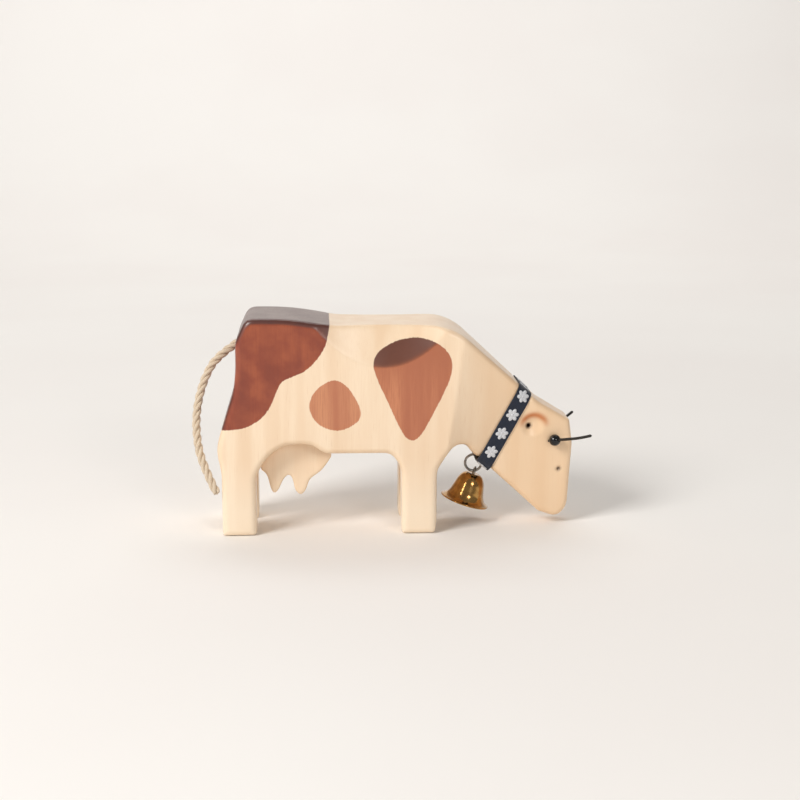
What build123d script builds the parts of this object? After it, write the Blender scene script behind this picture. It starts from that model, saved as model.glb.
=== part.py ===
from build123d import *
import math
import os

# A carved wooden cow that grazes: one sawn block with a ribbon collar, a bell, wire horns and a twine tail.
# Sizes in millimetres and degrees. X runs to the head, Y to the cow's left side, Z up.
# The outline is drawn with X = 0 at the rear of the hind feet; the finished pieces are then moved so that
# the origin lies under the middle of the object, on the surface it stands on.
# Reaches of the hind end count from the rear of the hind feet, those of the withers, neck, head, collar and
# bell from the rear of the fore feet, which stand one stance further.

# Feet and legs
hind_foot_length = 10.4
fore_foot_length = 10.8
stance = 54.8
leg_height = 17.0
leg_thickness = 9.4
leg_slot_height = 19.0
leg_slot_radius = 3.0

# Torso
body_width = 30.0
back_height = 64.5
rump_rise = 2.5
hock_height = 27.0
hock_bulge = 1.2
rump_inset = 4.8
rump_shoulder_drop = 9.0
rump_top_reach = 10.5
saddle_reach = 38.0
withers_reach = 7.2
belly_height = 25.4
belly_front_setback = 6.4
flank_height = 28.3
flank_start_reach = 33.0
edge_rounding = 1.6

# Neck and head
crest_run = 1.75
crest_drop = 4.9
poll_reach = 42.8
poll_height = 39.4
forehead_reach = 52.6
forehead_height = 33.6
face_reach = 53.6
face_height = 26.0
muzzle_reach = 47.8
muzzle_height = 2.5
nose_height = 8.0
nose_inset = 1.0
chin_reach = 43.2
chin_height = 4.2
throat_reach = 24.1
throat_height = 22.3
gullet_reach = 18.2
gullet_height = 27.3
shoulder_reach = 14.2
shoulder_lean = 8.4
muzzle_width = 10.6
head_length = 28.0
head_rounding = 1.6
shoulder_margin = 0.05
side_clear_up = 40.0
side_clear_down = 24.0

# Carved hollows: one scoop on each top edge, an ear and a nostril on each cheek
scoop_setback = 5.4
scoop_length = 42.0
scoop_height = 12.5
scoop_inset = 4.0
ear_reach = 41.4
ear_height = 32.0
ear_gouge_radius = 7.0
ear_gouge_depth = 1.0
ear_hole_setback = 1.8
ear_hole_diameter = 1.4
ear_hole_depth = 3.0
nostril_reach = 49.4
nostril_height = 18.0
nostril_diameter = 1.0
nostril_depth = 1.2

# Udder, a sawn board glued under the flank, just in front of the hind legs
udder_thickness = 18.0
udder_rear_reach = 11.8
udder_front_reach = 33.4
udder_bag_height = 17.3
udder_root_height = 30.0
udder_teat_height = 11.5

# Collar ribbon round the neck
ribbon_width = 5.0
ribbon_thickness = 0.45
ribbon_fit = 0.06
ribbon_slack = 1.1
ribbon_corner_radius = 3.2
collar_lean = 29.0
collar_reach = 32.3
collar_height = 32.2
neck_rear_width = 19.0
neck_front_width = 16.8
seat_depth = 0.15
seat_margin = 0.25

# Bead eyes and wire horns
bead_diameter = 3.6
bead_sink = 0.35
bead_reach = 47.7
bead_height = 27.6
horn_diameter = 0.9
horn_fit = 0.02
horn_root_length = 7.0
horn_straight_length = 6.0
horn_tip_length = 8.0
horn_tip_rise = 0.6
horn_forward_angle = 45.0
horn_rise_angle = 12.0

# Bell: shell, staple through its crown, clapper, and the ring that hangs it on the ribbon
ring_radius = 2.6
ring_wire = 0.8
ring_clearance = 0.25
ring_reach = 23.3
ring_height = 18.8
ring_hang_angle = 8.0
bell_lean = 18.0
bell_height = 8.9
bell_mouth_diameter = 15.7
bell_waist_diameter = 10.8
bell_shoulder_diameter = 9.4
bell_crown_diameter = 4.4
bell_waist_height = 2.4
bell_shoulder_height = 5.0
bell_wall = 0.5
bell_drop = 0.95
staple_radius = 1.1
staple_wire = 0.6
staple_fit = 0.06
staple_inner_drop = 1.5
clapper_eye_radius = 0.85
clapper_wire = 0.5
clapper_ball_diameter = 3.0
clapper_stem_length = 1.2
clapper_play = 0.1

# Tail twine and the hole it is glued into
tail_diameter = 2.6
tail_hole_depth = 5.5
tail_hole_fit = 0.08
tail_exit_drop = 9.2
tail_exit_angle = 31.0

# One overrun serves every cut
overrun = 2.0

half_width = body_width / 2
rump_height = back_height + rump_rise
crest_height = back_height - crest_drop
shoulder_rise = crest_height - gullet_height
shoulder_slant = math.tan(math.radians(shoulder_lean))


def side_point(reach, height):
    """A point of the cow's side view, on its middle plane, counted from the rear of the hind feet."""
    return Vector(reach, 0, height)


def fore_point(reach, height):
    """A point of the cow's side view, counted from the rear of the fore feet."""
    return side_point(stance + reach, height)


def between(start, end, shares):
    """Points on the way from start to end, given as shares of the reach and of the rise."""
    return [
        side_point(start.X + along * (end.X - start.X), start.Z + up * (end.Z - start.Z))
        for along, up in shares
    ]


def mirrored(solid):
    """The same solid on the cow's other side."""
    return solid.mirror(Plane.XZ)


# Corners of the side view
hind_rear = side_point(0, 0)
hind_rear_top = side_point(0, leg_height)
hock = side_point(-hock_bulge, hock_height)
rump_rear = side_point(rump_inset, rump_height - rump_shoulder_drop)
rump_top = side_point(rump_top_reach, rump_height)
saddle = side_point(saddle_reach, back_height)
withers = fore_point(withers_reach, back_height)
crest = fore_point(shoulder_reach + shoulder_rise * shoulder_slant + crest_run, crest_height)
poll = fore_point(poll_reach, poll_height)
forehead = fore_point(forehead_reach, forehead_height)
face = fore_point(face_reach, face_height)
nose = fore_point(face_reach - nose_inset, nose_height)
muzzle = fore_point(muzzle_reach, muzzle_height)
chin = fore_point(chin_reach, chin_height)
throat = fore_point(throat_reach, throat_height)
gullet = fore_point(gullet_reach, gullet_height)
fore_front = fore_point(fore_foot_length, 0)
fore_front_top = fore_point(fore_foot_length, leg_height)
fore_rear = fore_point(0, 0)
fore_rear_top = fore_point(0, leg_height)
belly_front = fore_point(-belly_front_setback, belly_height)
flank_start = side_point(flank_start_reach, belly_height)
hind_front = side_point(hind_foot_length, 0)
hind_front_top = side_point(hind_foot_length, leg_height)

# Shares of the way between two corners, for the curved stretches
rump_shares = [(0.30, 0.23), (0.62, 0.43), (0.88, 0.60), (0.99, 0.80)]
rump_corner_shares = [(0.30, 0.62)]
hump_shares = [(0.45, 0.22), (0.76, 0.75)]
nose_shares = [(0.20, 0.62), (0.52, 0.91)]
gullet_front_shares = [(0.45, 0.50)]
gullet_rear_shares = [(0.35, 0.08), (0.80, 0.52)]
belly_corner_shares = [(0.10, 0.52), (0.42, 0.88)]
flank_front_shares = [(0.45, 0.80)]
flank_rear_shares = [(0.42, 0.14), (0.78, 0.48), (0.95, 0.78)]

udder_end_shares = [(0.0, 1.35), (1.0, 2.02)]
udder_shares = [
    (0.08, 1.08), (0.135, 0.36), (0.19, 0.08), (0.245, 0.28), (0.32, 0.84), (0.395, 1.07), (0.45, 0.78),
    (0.505, 0.12), (0.56, 0.0), (0.63, 0.22), (0.69, 0.78), (0.83, 1.20), (0.95, 1.74),
]
dome_shares = [(0.46, 0.20), (0.82, 0.60)]
flare_shares = [(0.28, 0.55), (0.60, 0.83)]
bend_share = 0.45
flank_share = 0.7

flank_top = side_point((flank_start_reach + hind_foot_length) / 2, flank_height)
up = Vector(0, 0, 1)
down = Vector(0, 0, -1)
forward = Vector(1, 0, 0)
backward = Vector(-1, 0, 0)
neck_slope = (poll - crest).normalized()
throat_slope = (throat - chin).normalized()

outline = Wire(
    [
        Line(hind_rear, hind_rear_top),
        Spline([hind_rear_top, hock, *between(hock, rump_rear, rump_shares), rump_rear], tangents=[up, up]),
        Spline(
            [rump_rear, *between(rump_rear, rump_top, rump_corner_shares), rump_top],
            tangents=[up, forward],
        ),
        Spline([rump_top, *between(rump_top, saddle, hump_shares), saddle], tangents=[forward, forward]),
        Line(saddle, withers),
        Spline([withers, crest], tangents=[forward, neck_slope]),
        Line(crest, poll),
        Line(poll, forehead),
        Line(forehead, face),
        Line(face, nose),
        Spline([nose, *between(nose, muzzle, nose_shares), muzzle], tangents=[down, backward]),
        Line(muzzle, chin),
        Line(chin, throat),
        Spline(
            [throat, *between(throat, gullet, gullet_front_shares), gullet],
            tangents=[throat_slope, backward],
        ),
        Spline(
            [gullet, *between(gullet, fore_front_top, gullet_rear_shares), fore_front_top],
            tangents=[backward, down],
        ),
        Line(fore_front_top, fore_front),
        Line(fore_front, fore_rear),
        Line(fore_rear, fore_rear_top),
        Spline(
            [fore_rear_top, *between(fore_rear_top, belly_front, belly_corner_shares), belly_front],
            tangents=[up, backward],
        ),
        Line(belly_front, flank_start),
        Spline(
            [flank_start, *between(flank_start, flank_top, flank_front_shares), flank_top],
            tangents=[backward, backward],
        ),
        Spline(
            [flank_top, *between(flank_top, hind_front_top, flank_rear_shares), hind_front_top],
            tangents=[backward, down],
        ),
        Line(hind_front_top, hind_front),
        Line(hind_front, hind_rear),
    ]
)
block = extrude(Face(outline), amount=half_width, dir=(0, 1, 0), both=True)


def leaning_section(base, lean, width):
    """A tall rectangle across the block at a side point, leaning towards the head by an angle."""
    normal = Vector(math.cos(math.radians(lean)), 0, -math.sin(math.radians(lean)))
    plane = Plane(origin=base, x_dir=(0, 1, 0), z_dir=normal)
    middle_rise = (side_clear_up - side_clear_down) / 2
    return plane * Pos(0, middle_rise) * Rectangle(width, side_clear_up + side_clear_down)


def rise_to_line(base, start, end):
    """How far up the collar's own plane a line of the side view lies from a point."""
    run = end - start
    offset = start - base
    return (offset.Z * run.X - offset.X * run.Z) / (collar_up.Z * run.X - collar_up.X * run.Z)


# Planes of the neck: the shoulder edge, both edges of the collar, and the muzzle's end
shoulder_middle = fore_point(
    shoulder_reach + shoulder_rise / 2 * shoulder_slant, gullet_height + shoulder_rise / 2
)
collar_normal = Vector(math.cos(math.radians(collar_lean)), 0, -math.sin(math.radians(collar_lean)))
collar_up = Vector(math.sin(math.radians(collar_lean)), 0, math.cos(math.radians(collar_lean)))
collar_centre = fore_point(collar_reach, collar_height)
collar_rear = collar_centre - collar_normal * (ribbon_width / 2)
collar_front = collar_centre + collar_normal * (ribbon_width / 2)
head_end = collar_front + collar_normal * head_length

# The block behind the shoulder keeps its full width; in front of it the sides taper to the muzzle
shoulder_normal = Vector(math.cos(math.radians(shoulder_lean)), 0, -math.sin(math.radians(shoulder_lean)))
shoulder_plane = Plane(origin=shoulder_middle, x_dir=(0, 1, 0), z_dir=shoulder_normal)
rounded_block = fillet(block.faces().filter_by(Axis.Y).edges(), edge_rounding)
torso = split(rounded_block, bisect_by=shoulder_plane, keep=Keep.BOTTOM)
sides = loft(
    [
        leaning_section(shoulder_middle, shoulder_lean, body_width),
        leaning_section(collar_rear, collar_lean, neck_rear_width),
        leaning_section(collar_front, collar_lean, neck_front_width),
        leaning_section(head_end, collar_lean, muzzle_width),
    ],
    ruled=True,
)
neck_and_head = split(block, bisect_by=shoulder_plane, keep=Keep.TOP) & sides


def round_side_edges(solid, radius):
    """Rounds every edge that bounds the sawn sides, but not the cut at the shoulder."""
    flanks = [face for face in solid.faces() if abs(face.normal_at().Y) > flank_share]
    chosen = ShapeList()
    for edge in solid.edges():
        bounded = [flank for flank in flanks if any(edge.is_same(other) for other in flank.edges())]
        ends = [abs(shoulder_plane.to_local_coords(corner.center()).Z) for corner in edge.vertices()]
        if len(bounded) == 1 and max(ends) > shoulder_margin:
            chosen.append(edge)
    return fillet(chosen, radius)


neck_and_head = round_side_edges(neck_and_head, head_rounding)


def collar_section(base, width, growth, slack):
    """The neck's rounded section at an edge of the collar, grown all round and let down by a slack."""
    top = rise_to_line(base, crest, poll) - seat_depth + growth
    bottom = rise_to_line(base, chin, throat) + seat_depth - growth - slack
    plane = Plane(origin=base + collar_up * ((top + bottom) / 2), x_dir=(0, 1, 0), z_dir=collar_normal)
    across = width + 2 * (growth - seat_depth)
    return plane * RectangleRounded(across, top - bottom, ribbon_corner_radius + growth)


def collar_sleeve(growth, slack, margin):
    """A solid that fills the collar between its two edges, and a margin past each edge."""
    sections = [
        collar_section(collar_rear - collar_normal * margin, neck_rear_width, growth, slack),
        collar_section(collar_front + collar_normal * margin, neck_front_width, growth, slack),
    ]
    return loft(sections, ruled=True)


# The ribbon lies in a shallow seat cut round the neck
seat_plane = Plane(origin=collar_rear - collar_normal * seat_margin, x_dir=(0, 1, 0), z_dir=collar_normal)
seat_sheet = seat_plane * Rectangle(body_width, side_clear_up + side_clear_down)
seat_slab = extrude(seat_sheet, amount=ribbon_width + 2 * seat_margin)
neck_and_head = (neck_and_head - seat_slab) + collar_sleeve(0, 0, seat_margin)
carved = torso + neck_and_head

# The slot that parts the left legs from the right ones
leg_gap = body_width - 2 * leg_thickness
slot_length = stance + fore_foot_length + 2 * overrun
slot = Pos(slot_length / 2 - overrun, 0, leg_slot_height / 2 - overrun / 2) * Box(
    slot_length, leg_gap, leg_slot_height + overrun
)
slot = fillet(slot.edges().filter_by(Axis.X).group_by(Axis.Z)[-1], leg_slot_radius)
carved = carved - slot

# Two scoops along the top edges, each the mark of a large drum held at a slant
scoop_slope = Vector(0, -scoop_inset, scoop_height).normalized()
scoop_outward = Vector(0, scoop_height, scoop_inset).normalized()
scoop_depth = scoop_inset * scoop_height / math.hypot(scoop_inset, scoop_height)
drum_radius = (scoop_length**2 / 4 + scoop_depth**2) / (2 * scoop_depth)
scoop_middle = Vector(stance - scoop_setback, half_width, back_height)
drum_middle = scoop_middle + scoop_outward * (drum_radius - scoop_depth)
drum_axis = Plane(origin=drum_middle, x_dir=(1, 0, 0), z_dir=scoop_slope)
drum = drum_axis * Cylinder(drum_radius, 2 * (scoop_height + scoop_length))
carved = carved - drum - mirrored(drum)


def cheek_width(reach, height):
    """Half the head's width at a point of its side."""
    along = (fore_point(reach, height) - collar_front).dot(collar_normal) / head_length
    return (neck_front_width + along * (muzzle_width - neck_front_width)) / 2


# Ear hollows and nostrils on both cheeks
ear_side = cheek_width(ear_reach, ear_height)
ear_out = ear_side + ear_gouge_radius - ear_gouge_depth
ear_gouge = Pos(stance + ear_reach, ear_out, ear_height) * Sphere(ear_gouge_radius)
nostril_side = cheek_width(nostril_reach, nostril_height)
nostril = Pos(stance + nostril_reach, nostril_side, nostril_height) * Rot(90, 0, 0) * Cylinder(
    nostril_diameter / 2, 2 * nostril_depth
)
ear_hole = Pos(stance + ear_reach - ear_hole_setback, ear_side, ear_height) * Rot(90, 0, 0) * Cylinder(
    ear_hole_diameter / 2, 2 * ear_hole_depth
)
for hollow in (ear_gouge, ear_hole, nostril):
    carved = carved - hollow - mirrored(hollow)

# Left eye bead and the horn wire through it
bead_side = cheek_width(bead_reach, bead_height)
bead_out = bead_side + bead_diameter / 2 - bead_sink
bead_centre = Vector(stance + bead_reach, bead_out, bead_height)
horn_flat = math.cos(math.radians(horn_rise_angle))
horn_line = Vector(
    horn_flat * math.cos(math.radians(horn_forward_angle)),
    horn_flat * math.sin(math.radians(horn_forward_angle)),
    math.sin(math.radians(horn_rise_angle)),
)
horn_root = bead_centre - horn_line * horn_root_length
horn_bend = bead_centre + horn_line * horn_straight_length
horn_tip = horn_bend + horn_line * horn_tip_length + up * horn_tip_rise
horn_start = Plane(origin=horn_root, z_dir=horn_line)
horn_path = Wire([Line(horn_root, horn_bend), TangentArc(horn_bend, horn_tip, tangent=horn_line)])
left_horn = sweep(horn_start * Circle(horn_diameter / 2), path=horn_path)
bore_length = horn_root_length + horn_straight_length
bore = horn_start * Pos(0, 0, bore_length / 2) * Cylinder(horn_diameter / 2 + horn_fit, bore_length)
bead_ball = Pos(bead_centre) * Sphere(bead_diameter / 2)
bead_seat = Pos(bead_centre) * Sphere(bead_diameter / 2 + horn_fit)
left_eye_bead = bead_ball - bore
carved = carved - bore - mirrored(bore) - bead_seat - mirrored(bead_seat)

# Tail twine: straight runs joined by arcs as large as the runs allow, its route counted from its exit
tail_exit = side_point(rump_inset, rump_height - tail_exit_drop)
tail_out = Vector(-math.cos(math.radians(tail_exit_angle)), 0, -math.sin(math.radians(tail_exit_angle)))
tail_root = tail_exit - tail_out * tail_hole_depth
tail_route = [
    (-5.7, -0.4, -3.4),
    (-10.4, -2.6, -11.2),
    (-12.8, -5.6, -21.2),
    (-12.2, -9.0, -31.0),
    (-9.4, -12.2, -38.4),
    (-6.2, -14.9, -44.2),
]
tail_points = [Vector(tail_root), *(tail_exit + Vector(*step) for step in tail_route)]


def bend_radii(points):
    """The largest radius that leaves each run most of its length, for every corner of a route."""
    radii = []
    for before, corner, after in zip(points, points[1:], points[2:]):
        turn = (corner - before).get_angle(after - corner)
        shorter = min((corner - before).length, (after - corner).length)
        radii.append(bend_share * shorter / math.tan(math.radians(turn / 2)))
    return radii


tail_radii = bend_radii(tail_points)
tail_path = FilletPolyline(*tail_points, radius=tail_radii)
tail_start = Plane(origin=tail_root, z_dir=tail_points[1] - tail_points[0])
tail_cord = sweep(tail_start * Circle(tail_diameter / 2), path=tail_path)
tail_hole_line = (tail_points[1] - tail_points[0]).normalized()
tail_hole = Plane(origin=tail_root, z_dir=tail_hole_line) * Pos(0, 0, tail_hole_depth) * Cylinder(
    tail_diameter / 2 + tail_hole_fit, 2 * tail_hole_depth
)
carved = carved - tail_hole
print("tail radii", [round(radius, 1) for radius in tail_radii], "length", round(tail_path.length, 1))
tail_section = math.pi * tail_diameter**2 / 4
print("tail volume", tail_cord.volume, "section times length", tail_path.length * tail_section)

# Udder board with two teats, fitted under the flank
udder_low = side_point(udder_rear_reach, udder_teat_height)
udder_high = side_point(udder_front_reach, udder_bag_height)
udder_rear_top = side_point(udder_rear_reach, udder_root_height)
udder_front_top = side_point(udder_front_reach, udder_root_height)
udder_rear_low, udder_front_low = between(udder_low, udder_high, udder_end_shares)
udder_edge = Spline([udder_rear_low, *between(udder_low, udder_high, udder_shares), udder_front_low])
udder_outline = Wire(
    [
        Line(udder_rear_top, udder_rear_low),
        udder_edge,
        Line(udder_front_low, udder_front_top),
        Line(udder_front_top, udder_rear_top),
    ]
)
udder = extrude(Face(udder_outline), amount=udder_thickness / 2, dir=(0, 1, 0), both=True) - carved

# Ring through the ribbon
ring_centre = fore_point(ring_reach, ring_height)
ring_plane = Plane(origin=ring_centre, x_dir=(1, 0, 0), z_dir=(0, 1, 0))
bell_ring = ring_plane * Torus(ring_radius, ring_wire / 2)
ring_way = ring_plane * Torus(ring_radius, ring_wire / 2 + ring_clearance)
ribbon_inside = collar_sleeve(ribbon_fit, ribbon_slack, 0)
ribbon_outside = collar_sleeve(ribbon_fit + ribbon_thickness, ribbon_slack, 0)
collar_ribbon = ribbon_outside - ribbon_inside - ring_way

# Bell: drawn upright about the ring's wire, then leant back
ring_hang = math.radians(ring_hang_angle)
hang_point = ring_centre + Vector(math.sin(ring_hang), 0, -math.cos(ring_hang)) * ring_radius
bell_up = Vector(math.sin(math.radians(bell_lean)), 0, math.cos(math.radians(bell_lean)))
bell_across = Vector(math.cos(math.radians(bell_lean)), 0, -math.sin(math.radians(bell_lean)))
bell_place = Plane(origin=hang_point, x_dir=bell_across, z_dir=bell_up)
crown_level = -bell_drop
mouth_level = crown_level - bell_height


def bell_edge(inset):
    """The bell's side curve from crown to mouth, moved inwards by an inset."""
    crown = side_point(bell_crown_diameter / 2, crown_level - inset)
    shoulder = side_point(bell_shoulder_diameter / 2 - inset, mouth_level + bell_shoulder_height - inset)
    waist = side_point(bell_waist_diameter / 2 - inset, mouth_level + bell_waist_height)
    mouth = side_point(bell_mouth_diameter / 2 - inset, mouth_level)
    flare = between(waist, mouth, flare_shares)
    wall_line = waist - shoulder
    return [
        Line(side_point(0, crown_level - inset), crown),
        Spline([crown, *between(crown, shoulder, dome_shares), shoulder], tangents=[forward, wall_line]),
        Spline([shoulder, waist, *flare, mouth], tangents=[wall_line, forward + down]),
    ]


outer_edge = bell_edge(0)
inner_edge = bell_edge(bell_wall)
bell_section = Wire(
    [
        *outer_edge,
        Line(outer_edge[-1] @ 1, inner_edge[-1] @ 1),
        *inner_edge,
        Line(inner_edge[0] @ 0, outer_edge[0] @ 0),
    ]
)
bell_shell = revolve(Face(bell_section), axis=Axis.Z)
staple_low = crown_level - bell_wall - staple_inner_drop
staple_path = Wire(
    [
        ThreePointArc((0, -staple_radius, 0), (0, 0, staple_radius), (0, staple_radius, 0)),
        Line((0, staple_radius, 0), (0, staple_radius, staple_low)),
        ThreePointArc(
            (0, staple_radius, staple_low),
            (0, 0, staple_low - staple_radius),
            (0, -staple_radius, staple_low),
        ),
        Line((0, -staple_radius, staple_low), (0, -staple_radius, 0)),
    ]
)
bell_staple = sweep(Pos(0, -staple_radius, 0) * Circle(staple_wire / 2), path=staple_path)
staple_bore = Cylinder(staple_wire / 2 + staple_fit, 2 * bell_wall + overrun)
staple_hole = Pos(0, staple_radius, crown_level) * staple_bore
bell_shell = bell_shell - staple_hole - mirrored(staple_hole)

# Clapper: an eye on the staple's lower bend, a stem and a ball
clapper_pivot_level = staple_low - staple_radius
eye_level = clapper_pivot_level + (staple_wire + clapper_wire) / 2 + clapper_play - clapper_eye_radius
stem_top = eye_level - clapper_eye_radius
ball_level = stem_top - clapper_stem_length - clapper_ball_diameter / 2
clapper_eye = Pos(0, 0, eye_level) * Rot(90, 0, 0) * Torus(clapper_eye_radius, clapper_wire / 2)
clapper_stem = Pos(0, 0, (stem_top + ball_level) / 2) * Cylinder(clapper_wire / 2, stem_top - ball_level)
clapper_ball = Pos(0, 0, ball_level) * Sphere(clapper_ball_diameter / 2)
bell_clapper = clapper_eye + clapper_stem + clapper_ball

pieces = {
    "carved_body": carved,
    "udder": udder,
    "collar_ribbon": collar_ribbon,
    "right_eye_bead": mirrored(left_eye_bead),
    "left_eye_bead": left_eye_bead,
    "right_horn": mirrored(left_horn),
    "left_horn": left_horn,
    "tail_cord": tail_cord,
    "bell_ring": bell_ring,
    "bell_shell": bell_place * bell_shell,
    "bell_staple": bell_place * bell_staple,
    "bell_clapper": bell_place * bell_clapper,
}

# The origin goes under the middle of the object, the tail left out
boxes = [piece.bounding_box() for name, piece in pieces.items() if name != "tail_cord"]
middle = (min(box.min.X for box in boxes) + max(box.max.X for box in boxes)) / 2
centring = Pos(-middle, 0, 0)
clapper_pivot = bell_place.from_local_coords(Vector(0, 0, clapper_pivot_level))
for label, place in (("ring", ring_centre), ("bell", hang_point), ("clapper", clapper_pivot)):
    print(label, "axis at", round(place.X - middle, 4), round(place.Y, 4), round(place.Z, 4))

os.makedirs("parts", exist_ok=True)
for name, piece in pieces.items():
    export_step(centring * piece, f"parts/{name}.step")
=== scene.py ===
# %% [markdown]
# # A small carved cow that grazes
# The real cow is sawn from one block of pale lime wood, sanded soft and stained with brown patches.
# It wears a woven ribbon with a little brass bell, and it has bead eyes, wire horns and a twine tail.
# The measured frame already holds every piece at its true size, so this lesson only dresses it:
# each step takes one piece or one finish, in the frame's own place, in metres.

# %% Load the frame and the tools
import math

import bmesh
import bpy
import numpy as np
from mathutils import Matrix, Vector, noise


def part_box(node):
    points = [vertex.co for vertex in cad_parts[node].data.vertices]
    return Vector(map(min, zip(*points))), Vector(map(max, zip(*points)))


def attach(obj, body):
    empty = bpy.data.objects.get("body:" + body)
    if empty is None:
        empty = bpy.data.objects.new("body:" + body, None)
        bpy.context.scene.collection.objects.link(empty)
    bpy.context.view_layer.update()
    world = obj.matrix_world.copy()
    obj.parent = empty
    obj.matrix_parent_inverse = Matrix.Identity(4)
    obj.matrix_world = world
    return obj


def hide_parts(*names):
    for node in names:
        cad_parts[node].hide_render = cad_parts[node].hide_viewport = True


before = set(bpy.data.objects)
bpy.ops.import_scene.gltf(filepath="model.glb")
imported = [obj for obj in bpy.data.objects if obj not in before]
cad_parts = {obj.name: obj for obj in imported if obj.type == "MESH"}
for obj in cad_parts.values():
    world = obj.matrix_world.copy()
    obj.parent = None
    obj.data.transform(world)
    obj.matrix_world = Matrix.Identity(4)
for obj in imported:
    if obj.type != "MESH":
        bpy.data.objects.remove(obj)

MM = 0.001
UP = Vector((0, 0, 1))
SIDEWAYS = Vector((0, 1, 0))
QUARTER = math.pi / 2
scene = bpy.context.scene
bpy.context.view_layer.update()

# %% [markdown]
# ## Camera
# The photograph looks at the cow's right side from a little above, with a long lens. The camera's height,
# distance and turn were worked out from the soles, the top edges and the far horn, so nothing is fitted here.

# %% Camera
CAMERA_DISTANCE = 490 * MM
CAMERA_HEIGHT = 137 * MM
CAMERA_SIDESTEP = -0.65 * MM
CAMERA_YAW = math.radians(3.0)
CAMERA_PITCH = math.radians(11.3)
LENS_LENGTH = 72.2
SENSOR_WIDTH = 36
CLIP_START = 10 * MM

camera_data = bpy.data.cameras.new("photo_camera")
camera_data.lens = LENS_LENGTH
camera_data.sensor_width = SENSOR_WIDTH
camera_data.clip_start = CLIP_START
camera = bpy.data.objects.new("photo_camera", camera_data)
camera.location = (
    CAMERA_SIDESTEP - CAMERA_DISTANCE * math.sin(CAMERA_YAW),
    -CAMERA_DISTANCE * math.cos(CAMERA_YAW),
    CAMERA_HEIGHT,
)
camera.rotation_euler = (QUARTER - CAMERA_PITCH, 0, -CAMERA_YAW)
scene.collection.objects.link(camera)
scene.camera = camera
scene.view_settings.view_transform = "Standard"
print("camera at", [round(value, 3) for value in camera.location])

# %% [markdown]
# ## Small helpers
# Every piece is a mesh whose place is in its points, so its object can stay at the origin. `add_piece` makes
# such an object and hands it to the frame: the body it rides on, and the solids it stands for.

# %% Helpers for meshes
SOLID_JOIN = 0.001 * MM
SEAM_JOIN = 0.0005 * MM


def add_piece(name, mesh, material, body, slot, *nodes):
    """A finished piece: its mesh and finish, the body it rides on and the solids it replaces. The slot is not
    used.
    """
    piece = bpy.data.objects.new(name, mesh)
    mesh.materials.clear()
    mesh.materials.append(material)
    scene.collection.objects.link(piece)
    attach(piece, body)
    if nodes:
        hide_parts(*nodes)
    print(name, "has", len(mesh.polygons), "faces and rides on", body)
    return piece


def merged_mesh(solid):
    """A copy of a solid's mesh with its loose triangles joined."""
    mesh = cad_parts[solid].data.copy()
    cleaner = bmesh.new()
    cleaner.from_mesh(mesh)
    bmesh.ops.remove_doubles(cleaner, verts=cleaner.verts, dist=SOLID_JOIN)
    cleaner.to_mesh(mesh)
    cleaner.free()
    return mesh


def worker_object(name, data):
    """A helper object, linked so that it can be evaluated."""
    worker = bpy.data.objects.new(name, data)
    scene.collection.objects.link(worker)
    return worker


def evaluated_mesh(worker):
    """The mesh that an object's modifiers give, after which the object is removed."""
    graph = bpy.context.evaluated_depsgraph_get()
    mesh = bpy.data.meshes.new_from_object(worker.evaluated_get(graph))
    bpy.data.objects.remove(worker)
    return mesh


def outward(mesh):
    """Joins doubled points, turns every face outwards and shades the faces smooth."""
    cleaner = bmesh.new()
    cleaner.from_mesh(mesh)
    bmesh.ops.remove_doubles(cleaner, verts=cleaner.verts, dist=SEAM_JOIN)
    bmesh.ops.recalc_face_normals(cleaner, faces=cleaner.faces)
    for face in cleaner.faces:
        face.smooth = True
    cleaner.to_mesh(mesh)
    cleaner.free()


def grid_mesh(name, rows, closed_across=True, closed_along=False, caps=False):
    """A mesh over rows of points: each row is a ring or a strip, and the rows follow one another."""
    count = len(rows[0])
    points = [point for row in rows for point in row]
    faces = []
    for row in range(len(rows) if closed_along else len(rows) - 1):
        here = row * count
        after = (row + 1) % len(rows) * count
        for column in range(count if closed_across else count - 1):
            beside = (column + 1) % count
            faces.append((here + column, here + beside, after + beside, after + column))
    if caps:
        faces.append(tuple(reversed(range(count))))
        faces.append(tuple((len(rows) - 1) * count + column for column in range(count)))
    mesh = bpy.data.meshes.new(name)
    mesh.from_pydata(points, [], faces)
    outward(mesh)
    return mesh


# %% Helpers for paths and turned shapes
def shares_of(steps):
    """Even shares from 0 to 1, both ends among them."""
    return [step / steps for step in range(steps + 1)]


def turns_of(sides):
    """Even turns round a full circle."""
    return [math.tau * side / sides for side in range(sides)]


def path_frames(points):
    """At each point of a path: its direction and two directions across it, turned as little as possible."""
    frames = []
    across = None
    for index, point in enumerate(points):
        along = (points[min(index + 1, len(points) - 1)] - points[max(index - 1, 0)]).normalized()
        if across is None:
            across = along.orthogonal().normalized()
        across = (across - along * across.dot(along)).normalized()
        frames.append((along, across, along.cross(across)))
    return frames


def tube_rows(points, radii, sides):
    """Rings of points round a path."""
    rows = []
    for point, radius, (_, across, third) in zip(points, radii, path_frames(points)):
        ring = [math.cos(turn) * across + math.sin(turn) * third for turn in turns_of(sides)]
        rows.append([point + radius * spoke for spoke in ring])
    return rows


def lathe_rows(profile, place, sides):
    """Rings of points made by turning a profile of (radius, level) about a placed axis."""
    turns = turns_of(sides)
    return [
        [place @ Vector((radius * math.cos(turn), radius * math.sin(turn), level)) for turn in turns]
        for radius, level in profile
    ]


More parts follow.
